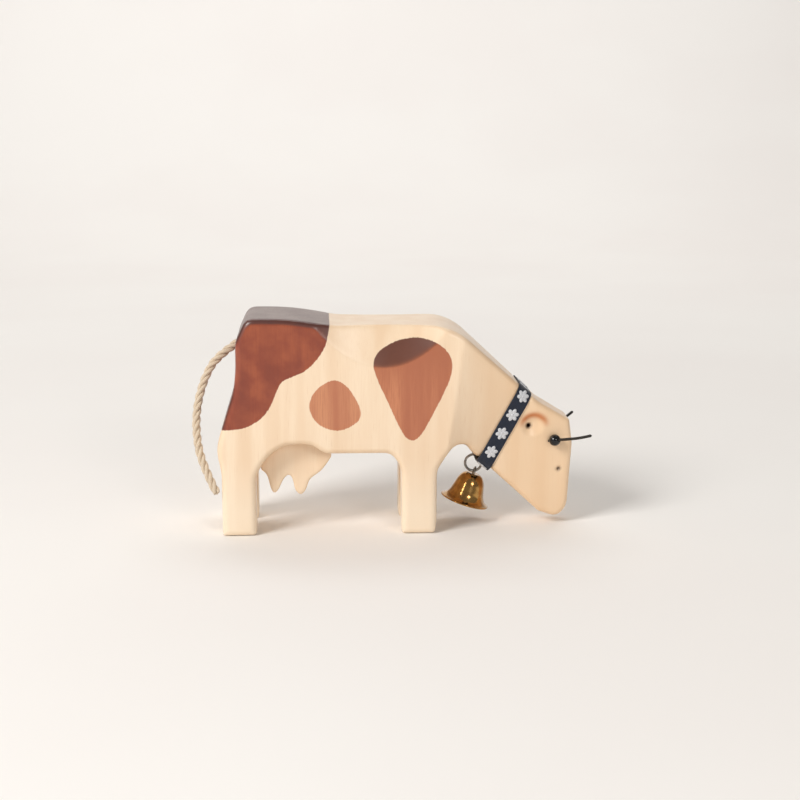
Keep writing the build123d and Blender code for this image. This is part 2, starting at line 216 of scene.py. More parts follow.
def smooth_line(corners, steps, closed=False):
    """Points on a smooth curve through given corners."""
    corners = [np.array(corner, float) for corner in corners]
    if closed:
        padded = [corners[-1], *corners, corners[0], corners[1]]
    else:
        padded = [corners[0], *corners, corners[-1]]
    points = []
    for before, start, end, after in zip(padded, padded[1:], padded[2:], padded[3:]):
        for share in shares_of(steps)[:-1]:
            line = 2 * start + (end - before) * share
            bow = (2 * before - 5 * start + 4 * end - after) * share**2
            twist = (3 * start - before - 3 * end + after) * share**3
            points.append((line + bow + twist) / 2)
    if not closed:
        points.append(corners[-1])
    return points


# %% [markdown]
# ## Helpers for finishes
# A finish is a small node tree. `node` adds one node and fills its sockets, with a number or with a link, and
# `mix` blends two colours. An effect that several finishes share is a node group: `group` makes an empty one,
# and `place_group` sets it into a finish.

# %% Helpers for node trees
def node(tree, kind, sockets=None, **settings):
    """One node: settings go on the node, and each socket gets a constant or a link."""
    made = tree.nodes.new(kind)
    for name, value in settings.items():
        setattr(made, name, value)
    for key, value in (sockets or {}).items():
        if isinstance(value, bpy.types.NodeSocket):
            tree.links.new(value, made.inputs[key])
        else:
            made.inputs[key].default_value = value
    return made


def mix(tree, factor, first, second):
    """A colour between two colours."""
    sockets = {0: factor, 6: first, 7: second}
    return node(tree, "ShaderNodeMix", sockets, data_type="RGBA").outputs[2]


def math_node(tree, operation, *values):
    """One sum on values."""
    return node(tree, "ShaderNodeMath", dict(enumerate(values)), operation=operation).outputs[0]


def part_of(tree, value, share):
    """A share of a value."""
    return math_node(tree, "MULTIPLY", value, share)


def ramp(tree, value, low, high, to_low=0.0, to_high=1.0):
    """A value carried smoothly from one range to another, and held at its ends."""
    sockets = {"Value": value, "From Min": low, "From Max": high, "To Min": to_low, "To Max": to_high}
    return node(tree, "ShaderNodeMapRange", sockets, interpolation_type="SMOOTHSTEP").outputs[0]


def noise_value(tree, vector, scale, detail, roughness=0.5):
    """Soft noise on a vector."""
    sockets = {"Vector": vector, "Scale": scale, "Detail": detail, "Roughness": roughness}
    return node(tree, "ShaderNodeTexNoise", sockets).outputs["Fac"]


def kept_value(tree, name):
    """A value that a mesh keeps at its points."""
    return node(tree, "ShaderNodeAttribute", attribute_name=name).outputs["Fac"]


def in_millimetres(tree, stretch=(1, 1, 1)):
    """The piece's own coordinates in millimetres, each drawn out by a stretch."""
    place = node(tree, "ShaderNodeTexCoord").outputs["Object"]
    scale = tuple(1 / MM / each for each in stretch)
    return node(tree, "ShaderNodeMapping", {"Vector": place, "Scale": scale}).outputs[0]


# %% Helpers for whole finishes
def colour(red, green, blue):
    """A colour written as it looks on a screen, 0 to 255, as the linear colour that a node needs."""
    def linear(value):
        share = value / 255
        return share / 12.92 if share <= 0.04045 else ((share + 0.055) / 1.055) ** 2.4

    return (linear(red), linear(green), linear(blue), 1)


def finish(name, **constants):
    """A new finish and its tree and shader, with constants on the shader's own sockets."""
    material = bpy.data.materials.new(name)
    material.use_nodes = True
    shader = material.node_tree.nodes["Principled BSDF"]
    for key, value in constants.items():
        shader.inputs[key.replace("_", " ")].default_value = value
    return material, material.node_tree, shader


def join(tree, shader, base, roughness=None, height=None, bump=0.1, depth=0.05 * MM):
    """Links a finish's colour, roughness and relief to its shader."""
    tree.links.new(base, shader.inputs["Base Color"])
    if roughness is not None:
        tree.links.new(roughness, shader.inputs["Roughness"])
    if height is not None:
        relief = node(tree, "ShaderNodeBump", {"Strength": bump, "Distance": depth, "Height": height})
        tree.links.new(relief.outputs[0], shader.inputs["Normal"])


def group(name, inputs, outputs):
    """An empty node group: a vector and named values go in, and named values come out."""
    tree = bpy.data.node_groups.new(name, "ShaderNodeTree")
    tree.interface.new_socket("Vector", in_out="INPUT", socket_type="NodeSocketVector")
    for label, value in inputs.items():
        tree.interface.new_socket(label, in_out="INPUT", socket_type="NodeSocketFloat").default_value = value
    for label in outputs:
        tree.interface.new_socket(label, in_out="OUTPUT", socket_type="NodeSocketFloat")
    return tree, tree.nodes.new("NodeGroupInput").outputs, tree.nodes.new("NodeGroupOutput").inputs


def place_group(tree, made, **sockets):
    """A shared effect set into a finish."""
    return node(tree, "ShaderNodeGroup", sockets, node_tree=made).outputs


# %% [markdown]
# ## Shared effects
# `fine_wear` gives soft blotches and hairlines, and `spun_thread` gives the slanted fibres of yarn. Both put
# out only values that change over a surface, and each finish reads them with its own sizes.

# %% Shared effect: soft blotches and hairlines
BLOTCH_RANGE = (0.35, 0.65)
HAIRLINE_RANGE = (0.42, 0.68)
WEAR_RANGE = (0.6, 1.4)
fine_wear, given, put = group("fine_wear", {"Blotch": 0.3, "Grain": 4.0}, ("Blotches", "Hairlines", "Height"))
blotches = noise_value(fine_wear, given["Vector"], given["Blotch"], detail=3.0)
hairlines = noise_value(fine_wear, given["Vector"], given["Grain"], detail=4.0, roughness=0.65)
fine_wear.links.new(ramp(fine_wear, blotches, *BLOTCH_RANGE), put["Blotches"])
fine_wear.links.new(ramp(fine_wear, hairlines, *HAIRLINE_RANGE), put["Hairlines"])
fine_wear.links.new(math_node(fine_wear, "ADD", blotches, hairlines), put["Height"])


def worn(tree, blotch, grain):
    """The blotches and hairlines of one finish, as counts for each millimetre."""
    return place_group(tree, fine_wear, Vector=in_millimetres(tree), Blotch=blotch, Grain=grain)


def worn_roughness(tree, wear, smoothest, roughest):
    """Roughness that follows the wear."""
    return ramp(tree, wear["Height"], *WEAR_RANGE, smoothest, roughest)


print("shared effect:", fine_wear.name)

# %% Shared effect: slanted fibres of spun yarn
TONE_SCALE = 0.7
spun_thread, given, put = group("spun_thread", {"Fibres": 6.0, "Stray": 2.0}, ("Fibre", "Tone"))
fibre_sockets = {
    "Vector": given["Vector"],
    "Scale": given["Fibres"],
    "Distortion": given["Stray"],
    "Detail": 2.0,
    "Detail Scale": 2.0,
}
fibre_wave = node(spun_thread, "ShaderNodeTexWave", fibre_sockets, bands_direction="DIAGONAL").outputs["Fac"]
spun_thread.links.new(fibre_wave, put["Fibre"])
spun_thread.links.new(noise_value(spun_thread, given["Vector"], TONE_SCALE, detail=3.0), put["Tone"])
print("shared effect:", spun_thread.name)

# %% [markdown]
# ## Floor and light
# The cow stands on a pale seamless sweep. A soft window at the left front gives the main light, a small panel
# at the right front puts the highlights on the bell, and a broad panel lights the backdrop. The room itself
# is dimmer, and that gives the brass something dark to reflect.

# %% Floor sweep
FLOOR_FRONT = -3.0
FLOOR_BACK = 0.75
SWEEP_RADIUS = 0.7
SWEEP_TOP = 2.2
SWEEP_HALF_WIDTH = 4.0
SWEEP_STEPS = 16
PAPER_PALE = colour(248, 245, 241)
PAPER_SHADE = colour(246, 242, 238)

sweep_line = [(FLOOR_FRONT, 0)]
for share in shares_of(SWEEP_STEPS):
    turn = QUARTER * share
    sweep_line.append((FLOOR_BACK + SWEEP_RADIUS * math.sin(turn), SWEEP_RADIUS * (1 - math.cos(turn))))
sweep_line.append((FLOOR_BACK + SWEEP_RADIUS, SWEEP_TOP))
sweep_rows = [[Vector((side * SWEEP_HALF_WIDTH, y, z)) for side in (-1, 1)] for y, z in sweep_line]
sweep_mesh = grid_mesh("floor_sweep", sweep_rows, closed_across=False)
sweep = worker_object("floor_sweep", sweep_mesh)

paper, tree, shader = finish("pale_paper", Roughness=0.9, Specular_IOR_Level=0.1)
join(tree, shader, mix(tree, worn(tree, 0.004, 0.6)["Blotches"], PAPER_PALE, PAPER_SHADE))
sweep_mesh.materials.append(paper)
print("floor sweep", len(sweep_mesh.polygons), "faces")

# %% Lamps
COW_MIDDLE = (0, 0, 0.03)
BACKDROP_FOOT = (0.12, 1.2, 0.1)
DAYLIGHT = (1, 0.985, 0.965)
PAPER_WHITE = (1, 0.99, 0.985)
ROOM_STRENGTH = 0.27


def soft_panel(name, place, target, width, height, watts, tint):
    """A soft rectangular lamp that faces a target."""
    data = bpy.data.lights.new(name, "AREA")
    data.shape = "RECTANGLE"
    data.size = width
    data.size_y = height
    data.energy = watts
    data.color = tint
    lamp = worker_object(name, data)
    lamp.location = place
    lamp.rotation_euler = (Vector(target) - Vector(place)).to_track_quat("-Z", "Y").to_euler()


soft_panel(
    "left_window", place=(-0.68, -0.58, 0.66), target=COW_MIDDLE,
    width=0.4, height=0.4, watts=8.2, tint=DAYLIGHT,
)
soft_panel(
    "front_panel", place=(0.36, -0.88, 0.42), target=COW_MIDDLE,
    width=0.2, height=0.2, watts=1.5, tint=DAYLIGHT,
)
soft_panel(
    "back_panel", place=(-0.05, 0.74, 1.15), target=BACKDROP_FOOT,
    width=1.4, height=0.6, watts=7.6, tint=PAPER_WHITE,
)

room = bpy.data.worlds.new("dim_room")
scene.world = room
room.use_nodes = True
room_light = room.node_tree.nodes["Background"].inputs
room_light["Color"].default_value = (*DAYLIGHT, 1)
room_light["Strength"].default_value = ROOM_STRENGTH

# %% [markdown]
# ## Tail
# The tail is a short length of three-strand twine, glued into a hole in the rump. It leaves the hole slanting
# down, swings out behind and comes to rest beside the right hind leg, where it is cut blunt. Its route is a
# NURBS curve on the points of the measured tail. The strands then wind round points read from that curve.

# %% Tail route
TAIL_EXIT = Vector((-50.854, 0, 57.8)) * MM
TAIL_DIAMETER = 2.6 * MM
TAIL_ROUTE = [
    (4.71, 0, 2.83),
    (-5.7, -0.4, -3.4),
    (-10.4, -2.6, -11.2),
    (-12.8, -5.6, -21.2),
    (-12.2, -9.0, -31.0),
    (-9.4, -12.2, -38.4),
    (-6.2, -14.9, -44.2),
]
ROUTE_FINENESS = 40
route = bpy.data.curves.new("tail_route", "CURVE")
route.dimensions = "3D"
route.resolution_u = ROUTE_FINENESS
spline = route.splines.new("NURBS")
spline.points.add(len(TAIL_ROUTE) - 1)
for control, step in zip(spline.points, TAIL_ROUTE):
    control.co = (*(TAIL_EXIT + Vector(step) * MM), 1)
spline.order_u = 3
spline.use_endpoint_u = True
tail_line = evaluated_mesh(worker_object("tail_route", route))
tail_points = [vertex.co.copy() for vertex in tail_line.vertices]

# %% [markdown]
# Twine shows two things from close by: round strands that cross it at a slant, and loose fibres. The strands
# are three tubes on a helix, each with its own map so that the spun fibres run along it. The fibres are
# scattered on the strands by Geometry Nodes.

# %% Twine finish
TWINE_PALE = colour(248, 236, 216)
TWINE_WARM = colour(222, 202, 176)
TWINE_GROOVE_SHADE = colour(208, 186, 158)
twine, tree, shader = finish("tail_twine", Roughness=0.85, Specular_IOR_Level=0.25, Sheen_Weight=0.25)
twine_map = node(tree, "ShaderNodeUVMap", uv_map="yarn").outputs[0]
yarn = place_group(tree, spun_thread, Vector=twine_map, Fibres=2.4, Stray=1.6)
twine_tone = mix(tree, yarn["Tone"], TWINE_WARM, TWINE_PALE)
# The grooves between the fibres get a painted shade.
twine_base = mix(tree, ramp(tree, yarn["Fibre"], 0.1, 0.9), TWINE_GROOVE_SHADE, twine_tone)
join(tree, shader, twine_base, height=yarn["Fibre"], bump=0.5, depth=0.08 * MM)
print("finish:", twine.name)

# %% Twisted strands
STRANDS = 3
STRAND_RADIUS = 0.62 * MM
STRAND_OFFSET = TAIL_DIAMETER / 2 - STRAND_RADIUS
LAY_LENGTH = 8.6 * MM
STRAND_SIDES = 12
STRAND_END_RINGS = 5
STRAND_END_SHARE = 0.4


def strand_line(points, frames, strand):
    """The middle of one strand on its helix, and the length travelled to each of its points."""
    travelled = 0.0
    centres = []
    lengths = []
    for index, (point, (_, across, third)) in enumerate(zip(points, frames)):
        travelled += (point - points[index - 1]).length if index else 0
        turn = math.tau * (travelled / LAY_LENGTH + strand / STRANDS)
        centres.append(point + STRAND_OFFSET * (math.cos(turn) * across + math.sin(turn) * third))
        lengths.append(travelled)
    return centres, lengths


def strand_radii(count):
    """A radius for each ring of a strand, drawn in to a blunt round end."""
    radii = [STRAND_RADIUS] * count
    for ring in range(STRAND_END_RINGS):
        inward = 1 - (ring + STRAND_END_SHARE) / STRAND_END_RINGS
        radii[-1 - ring] = STRAND_RADIUS * math.sqrt(1 - inward**2)
    return radii


def twisted_strands(points):
    """One mesh of strands wound round a path, each with a map of its length and its girth in millimetres."""
    maker = bmesh.new()
    layer = maker.loops.layers.uv.new("yarn")
    frames = path_frames(points)
    for strand in range(STRANDS):
        centres, lengths = strand_line(points, frames, strand)
        rows = tube_rows(centres, strand_radii(len(centres)), STRAND_SIDES)
        rings = [[maker.verts.new(point) for point in row] for row in rows]
        for index, (ring, after) in enumerate(zip(rings, rings[1:])):
            for side in range(STRAND_SIDES):
                beside = (side + 1) % STRAND_SIDES
                face = maker.faces.new((ring[side], ring[beside], after[beside], after[side]))
                face.smooth = True
                girths = (side, side + 1, side + 1, side)
                stations = (index, index, index + 1, index + 1)
                for loop, girth, station in zip(face.loops, girths, stations):
                    round_way = girth / STRAND_SIDES * math.tau * STRAND_RADIUS
                    loop[layer].uv = (lengths[station] / MM, round_way / MM)
        maker.faces.new(list(reversed(rings[0])))
        maker.faces.new(rings[-1])
    mesh = bpy.data.meshes.new("tail_twine")
    maker.to_mesh(mesh)
    maker.free()
    return mesh


strand_mesh = twisted_strands(tail_points)
print("strands", len(strand_mesh.polygons), "faces")


# %% Helpers for Geometry Nodes
def tree_inputs(tree, *sockets):
    """Named inputs of a Geometry Nodes tree, and each one's identifier for the modifier."""
    tree.interface.new_socket("Geometry", in_out="INPUT", socket_type="NodeSocketGeometry")
    names = {}
    for label, kind in sockets:
        names[label] = tree.interface.new_socket(label, in_out="INPUT", socket_type=kind).identifier
    tree.interface.new_socket("Geometry", in_out="OUTPUT", socket_type="NodeSocketGeometry")
    return names, tree.nodes.new("NodeGroupInput").outputs, tree.nodes.new("NodeGroupOutput").inputs


def put_out(tree, instances, material, end):
    """The end of a tree: real faces instead of instances, with their finish."""
    real = node(tree, "GeometryNodeRealizeInstances", {"Geometry": instances}).outputs[0]
    dressed = node(tree, "GeometryNodeSetMaterial", {"Geometry": real, "Material": material}).outputs[0]
    tree.links.new(dressed, end)


def grown_mesh(mesh, tree, names, **values):
    """A plain mesh that a Geometry Nodes tree makes on a mesh."""
    worker = worker_object("worker", mesh)
    modifier = worker.modifiers.new("grown", "NODES")
    modifier.node_group = tree
    for label, value in values.items():
        modifier[names[label]] = value
    return evaluated_mesh(worker)


# %% Geometry Nodes: scatter one small shape over a mesh
LEAN_SEED = 5
scatter = bpy.data.node_groups.new("scatter_fibres", "GeometryNodeTree")
scatter_names, given, put = tree_inputs(
    scatter,
    ("Shape", "NodeSocketObject"),
    ("Density", "NodeSocketFloat"),
    ("Seed", "NodeSocketInt"),
    ("Shortest", "NodeSocketFloat"),
    ("Longest", "NodeSocketFloat"),
    ("Lean", "NodeSocketFloat"),
    ("Finish", "NodeSocketMaterial"),
)
spot_sockets = {"Mesh": given["Geometry"], "Density": given["Density"], "Seed": given["Seed"]}
spots = node(scatter, "GeometryNodeDistributePointsOnFaces", spot_sockets).outputs
shape = node(scatter, "GeometryNodeObjectInfo", {"Object": given["Shape"]}).outputs["Geometry"]
length_sockets = {2: given["Shortest"], 3: given["Longest"], "Seed": given["Seed"]}
length = node(scatter, "FunctionNodeRandomValue", length_sockets).outputs[1]
limit_sockets = {0: given["Lean"], 1: given["Lean"], 2: math.tau}
lean_limit = node(scatter, "ShaderNodeCombineXYZ", limit_sockets).outputs[0]
lean_sockets = {1: lean_limit, "Seed": LEAN_SEED}
lean = node(scatter, "FunctionNodeRandomValue", lean_sockets, data_type="FLOAT_VECTOR").outputs[0]
lean_turn = node(scatter, "FunctionNodeEulerToRotation", {0: lean}).outputs[0]
turn_sockets = {"Rotation": spots["Rotation"], "Rotate By": lean_turn}
leaned = node(scatter, "FunctionNodeRotateRotation", turn_sockets, rotation_space="LOCAL").outputs[0]
grown_sockets = {"Points": spots["Points"], "Instance": shape, "Rotation": leaned, "Scale": length}
grown = node(scatter, "GeometryNodeInstanceOnPoints", grown_sockets).outputs[0]
put_out(scatter, grown, given["Finish"], put["Geometry"])
print("scatter tree with", len(scatter.nodes), "nodes")

# %% Loose fibres and the finished tail
FIBRE_LENGTH = 1.0 * MM
FIBRE_RADIUS = 0.028 * MM
FIBRE_BOW_SHARE = 0.3
FIBRE_WAVE_SHARE = 0.08
FIBRE_WAVE_TURN = 3
FIBRE_TAPER_SHARE = 0.8
FIBRE_STEPS = 4
FIBRE_SIDES = 3
fibre_line = []
for share in shares_of(FIBRE_STEPS):
    wave = FIBRE_WAVE_SHARE * math.sin(FIBRE_WAVE_TURN * share)
    fibre_line.append(Vector((FIBRE_BOW_SHARE * share**2, wave, share)) * FIBRE_LENGTH)
fibre_radii = [FIBRE_RADIUS * (1 - FIBRE_TAPER_SHARE * share) for share in shares_of(FIBRE_STEPS)]
fibre_mesh = grid_mesh("fibre", tube_rows(fibre_line, fibre_radii, FIBRE_SIDES), caps=True)
fibre = worker_object("fibre", fibre_mesh)
fuzz_mesh = grown_mesh(
    strand_mesh, scatter, scatter_names,
    Shape=fibre, Density=1.1e6, Seed=4, Shortest=0.35, Longest=1.0, Lean=1.2, Finish=twine,
)
bpy.data.objects.remove(fibre)
tail_fuzz = add_piece("tail_fuzz", fuzz_mesh, twine, "cow", "tail_twine")
tail_twine = add_piece("tail_twine", strand_mesh, twine, "cow", "tail_twine", "tail_cord")

# %% [markdown]
# ## Carved body
# The body comes out of the saw with crisp edges, and sandpaper then breaks every one of them. A fine voxel
# remesh of the solid, followed by a few rounds of smoothing, wears the edges in the same way, and a shallow
# unevenness stands for the hand that held the paper. This one step works in millimetres.

# %% Sanded wood
BODY_VOXEL = 0.5
UDDER_VOXEL = 0.35
SANDING_ROUNDS = 8
SANDING_FACTOR = 0.5
HAND_WAVE = 9
HAND_DEPTH = 0.05


def sanded_mesh(solid, voxel):
    """A solid's mesh with its edges worn soft and its faces a little uneven."""
    millimetre_mesh = merged_mesh(solid)
    millimetre_mesh.transform(Matrix.Scale(1 / MM, 4))
    worker = worker_object("worker", millimetre_mesh)
    remesh = worker.modifiers.new("voxels", "REMESH")
    remesh.mode = "VOXEL"
    remesh.voxel_size = voxel
    soften = worker.modifiers.new("sanding", "SMOOTH")
    soften.factor = SANDING_FACTOR
    soften.iterations = SANDING_ROUNDS
    mesh = evaluated_mesh(worker)
    moved = [
        vertex.co + normal.vector * HAND_DEPTH * noise.noise(vertex.co / HAND_WAVE)
        for vertex, normal in zip(mesh.vertices, mesh.vertex_normals)
    ]
    mesh.vertices.foreach_set("co", [value * MM for point in moved for value in point])
    mesh.polygons.foreach_set("use_smooth", [True] * len(mesh.polygons))
    mesh.update()
    return mesh


body_mesh = sanded_mesh("carved_body", BODY_VOXEL)
udder_mesh = sanded_mesh("udder", UDDER_VOXEL)
print("sanded body", len(body_mesh.polygons), "faces, udder", len(udder_mesh.polygons), "faces")

# %% [markdown]
# ## Stained patches
# The brown patches are painted with thin stain: the grain shows through, and the edge of a patch is clean.
# The outline of a patch is drawn on the side view through a few listed points. Each point of the mesh
# then keeps its distance to that outline, and the finish turns the distance into an edge that stays sharp.

# %% Patch outlines, in millimetres of reach and height
RUMP_PATCH = [
    (-22.4, 74), (-22.4, 66), (-23, 62), (-24.2, 58), (-26.6, 54.4), (-30, 51.2), (-34, 49.4), (-36.8, 48),
    (-38.3, 45.6), (-40, 41.6), (-42, 38.2), (-45, 35.6), (-49, 33.8), (-55, 33.2), (-66, 33), (-66, 74),
]
BELLY_PATCH = [
    (-21.8, 48.3), (-18.2, 47), (-15.6, 43.8), (-13.4, 39), (-14.4, 35.4), (-20, 32.8), (-26, 34.8),
    (-28.8, 40), (-26.8, 45.2),
]
SHOULDER_PATCH = [
    (-9.4, 53), (-8, 56.4), (-4.4, 58.9), (0, 60.4), (4.6, 60.8), (9.6, 59.4), (13.2, 56.2), (14.4, 52),
    (12.8, 46.2), (7, 34.6), (4.2, 30.4), (1.8, 29.6), (-0.8, 32.2), (-5, 41.2), (-8.2, 48.4),
]
PATCHES = {"rump_patch": RUMP_PATCH, "belly_patch": BELLY_PATCH, "shoulder_patch": SHOULDER_PATCH}
PATCH_STEPS = 10


def inside_distance(points, outline):
    """Signed distance in the side view from points to a closed outline, above zero inside it."""
    ring = np.array(smooth_line(outline, PATCH_STEPS, closed=True))
    nearest = np.full(len(points), np.inf)
    crossings = np.zeros(len(points), int)
    for (x, z), (run, rise) in zip(ring, np.roll(ring, -1, axis=0) - ring):
        offset = points - (x, z)
        share = np.clip((offset @ (run, rise)) / (run**2 + rise**2), 0, 1)
        nearest = np.minimum(nearest, np.hypot(offset[:, 0] - share * run, offset[:, 1] - share * rise))
        spans = (z > points[:, 1]) != (z + rise > points[:, 1])
        reach = x + run * (points[:, 1] - z) / (rise if rise else 1)
        crossings += spans & (points[:, 0] < reach)
    return np.where(crossings % 2 == 1, nearest, -nearest)


# %% Values kept at the points of the wood
END_GRAIN_FADE = (0.1, 0.32)
# Where the painted shade on the head and the painted light on the lower legs fade in, in millimetres.
HEAD_SHADE_FADE = (12, 34)
FOOT_LIGHT_FADE = (24, 8)
FORE_LEG_END = 20


def mesh_points(mesh):
    """A mesh's points in millimetres, and how level its surface is at each of them."""
    places = np.empty(len(mesh.vertices) * 3)
    normals = np.empty(len(mesh.vertices) * 3)
    mesh.vertices.foreach_get("co", places)
    mesh.vertex_normals.foreach_get("vector", normals)
    return places.reshape(-1, 3) / MM, np.abs(normals.reshape(-1, 3)[:, 2])


def keep_value(mesh, name, values):
    """Stores one value for each point of a mesh."""
    mesh.attributes.new(name, "FLOAT", "POINT").data.foreach_set("value", values.astype(np.float32))


def fade(values, start, end):
    """Zero at the start, one at the end and even between them."""
    return np.clip((values - start) / (end - start), 0, 1)


body_places, body_level = mesh_points(body_mesh)
body_reach = body_places[:, 0]
body_height = body_places[:, 2]
side_view = body_places[:, [0, 2]]
for patch_name, patch in PATCHES.items():
    keep_value(body_mesh, patch_name, inside_distance(side_view, patch))
keep_value(body_mesh, "end_grain", fade(body_level, *END_GRAIN_FADE))
keep_value(udder_mesh, "end_grain", fade(mesh_points(udder_mesh)[1], *END_GRAIN_FADE))
# Painted shade on the head and neck, and painted light on the legs towards the floor.
keep_value(body_mesh, "head_painted_shade", fade(body_reach, *HEAD_SHADE_FADE))
keep_value(body_mesh, "foot_painted_light", fade(body_height, *FOOT_LIGHT_FADE) * (body_reach < FORE_LEG_END))
print("patches kept on", len(body_places), "points")

# %% [markdown]
# The ear is a shallow gouge with a drilled hole, and the nostril is a small drilled dot. Their shade is
# painted: the holes are darkened, and the upper rim of the ear gouge gets an orange-brown painted shade.

# %% Painted shade of the ear and the nostril, in millimetres
EAR_CENTRE = (40.4, 31.6)
EAR_HOLE = (38.75, 32.0)
EAR_HOLE_EDGE = (1.3, 0.5)
NOSTRIL = (48.55, 18.0)
NOSTRIL_EDGE = (0.95, 0.35)
NOSTRIL_SHARE = 0.8
EAR_RIM_RADIUS = 3.9
EAR_RIM_WIDTH = 0.95
EAR_RIM_RISE = (-0.2, 2.6)
EAR_RIM_SEEN = 0.2
HEAD_START = 34.0
CHEEK_START = 3


def away_from(centre):
    """How far the body's points are from a place in the side view."""
    return np.hypot(side_view[:, 0] - centre[0], side_view[:, 1] - centre[1])


on_cheek = (np.abs(body_places[:, 1]) > CHEEK_START) & (body_reach > HEAD_START)
# Painted shade darkens the ear hole and the nostril.
ear_hole_shade = fade(away_from(EAR_HOLE), *EAR_HOLE_EDGE)
nostril_shade = NOSTRIL_SHARE * fade(away_from(NOSTRIL), *NOSTRIL_EDGE)
# Painted shade along the upper rim of the ear gouge.
ear_rim = np.exp(-(((away_from(EAR_CENTRE) - EAR_RIM_RADIUS) / EAR_RIM_WIDTH) ** 2))
ear_rim_shade = ear_rim * fade(body_height - EAR_CENTRE[1], *EAR_RIM_RISE) * on_cheek
keep_value(body_mesh, "hole_shade", np.maximum(ear_hole_shade, nostril_shade) * on_cheek)
keep_value(body_mesh, "ear_rim_shade", ear_rim_shade)
print("ear_rim_shaded points", int((ear_rim_shade > EAR_RIM_SEEN).sum()))

# %% [markdown]
# ## Lime wood
# Lime is a pale, quiet wood: wide soft bands, fine fibres that run up the legs, and hardly any pores. A satin
# varnish covers it. End grain, on the scoops and along the top, drinks more stain and turns darker.

# %% Shared effect: lime grain
BAND_RANGE = (0.3, 0.7)
FLECK_RANGE = (0.62, 0.74)
lime_grain, given, put = group("lime_grain", {"Band": 0.2, "Fibre": 2.5}, ("Bands", "Fibres", "Flecks"))
band_noise = noise_value(lime_grain, given["Vector"], given["Band"], detail=2.0, roughness=0.45)
fibre_noise = noise_value(lime_grain, given["Vector"], given["Fibre"], detail=3.0, roughness=0.6)
lime_grain.links.new(ramp(lime_grain, band_noise, *BAND_RANGE), put["Bands"])
lime_grain.links.new(fibre_noise, put["Fibres"])
lime_grain.links.new(ramp(lime_grain, fibre_noise, *FLECK_RANGE), put["Flecks"])
print("shared effect:", lime_grain.name)

# %% Bare wood and thin stain
GRAIN_STRETCH = (1, 1.3, 16)
GRAIN_BUMP = 0.12
GRAIN_DEPTH = 0.06 * MM
LIME_PALE = colour(249, 226, 197)
LIME_WARM = colour(240, 211, 178)
LIME_FLECK = colour(205, 160, 112)
LIME_END = colour(226, 190, 148)
FLECK_SHARE = 0.16
END_SHARE = 0.25
WOBBLE_SHARE = 0.5
STAIN_EDGE = (-0.12, 0.14)
SOAK_SHARE = 0.85


def bare_wood(tree):
    """Bare lime: its colour, and the grain that made it."""
    grain = place_group(tree, lime_grain, Vector=in_millimetres(tree, GRAIN_STRETCH), Band=0.2, Fibre=2.4)
    bands = mix(tree, grain["Bands"], LIME_PALE, LIME_WARM)
    fibres = mix(tree, ramp(tree, grain["Fibres"], 0.35, 0.7, to_high=0.3), bands, LIME_WARM)
    flecked = mix(tree, part_of(tree, grain["Flecks"], FLECK_SHARE), fibres, LIME_FLECK)
    return mix(tree, part_of(tree, kept_value(tree, "end_grain"), END_SHARE), flecked, LIME_END), grain


def stain(tree, under, grain, patch, light, dark, soaked):
    """Thin stain inside a kept outline: grain bands show, and end grain drinks more of it."""
    wobble = part_of(tree, math_node(tree, "SUBTRACT", grain["Fibres"], 0.5), WOBBLE_SHARE)
    edge = ramp(tree, math_node(tree, "ADD", kept_value(tree, patch), wobble), *STAIN_EDGE)
    streaks = mix(tree, grain["Bands"], light, dark)
    lines = mix(tree, ramp(tree, grain["Fibres"], 0.4, 0.68, to_high=0.55), streaks, dark)
    drunk = mix(tree, part_of(tree, kept_value(tree, "end_grain"), SOAK_SHARE), lines, soaked)
    return mix(tree, edge, under, drunk)


# %% Body finish: bare wood first, then each patch, then the painted shade of the ear and nostril over it
HEAD_PAINTED_SHADE = colour(243, 203, 158)
FOOT_PAINTED_LIGHT = colour(253, 236, 211)
PAINTED_SHADE_AND_LIGHT_SHARE = 0.6
SHOULDER_FADE = (42, 58)
# Colours of the painted shade on the upper rim of the ear and in the holes.
EAR_RIM_SHADE_BROWN = colour(204, 122, 62)
HOLE_SHADE_BROWN = colour(58, 34, 24)
body_wood, tree, shader = finish("stained_lime", Specular_IOR_Level=0.5, Coat_Weight=0.5, Coat_Roughness=0.28)
wood, grain = bare_wood(tree)
# The head and neck are darkened with painted shade, and the lower legs are lightened with painted light.
wood = mix(tree, part_of(tree, kept_value(tree, "head_painted_shade"), PAINTED_SHADE_AND_LIGHT_SHARE), wood, HEAD_PAINTED_SHADE)
wood = mix(tree, part_of(tree, kept_value(tree, "foot_painted_light"), PAINTED_SHADE_AND_LIGHT_SHARE), wood, FOOT_PAINTED_LIGHT)
level = node(tree, "ShaderNodeSeparateXYZ", {0: in_millimetres(tree)}).outputs[2]
shoulder_light = mix(tree, ramp(tree, level, *SHOULDER_FADE), colour(204, 131, 91), colour(176, 102, 66))
wood = stain(tree, wood, grain, "shoulder_patch", shoulder_light, colour(176, 101, 68), colour(62, 25, 17))
belly_tones = (colour(208, 141, 101), colour(185, 113, 79), colour(96, 54, 44))
wood = stain(tree, wood, grain, "belly_patch", *belly_tones)
cloud = worn(tree, 0.13, 1.2)
rump_light = mix(tree, cloud["Blotches"], colour(165, 81, 44), colour(140, 58, 30))
rump_dark = mix(tree, cloud["Blotches"], colour(147, 66, 36), colour(128, 52, 28))
wood = stain(tree, wood, grain, "rump_patch", rump_light, rump_dark, colour(66, 36, 32))
# Orange-brown painted shade on the upper rim of the ear gouge.
wood = mix(tree, kept_value(tree, "ear_rim_shade"), wood, EAR_RIM_SHADE_BROWN)
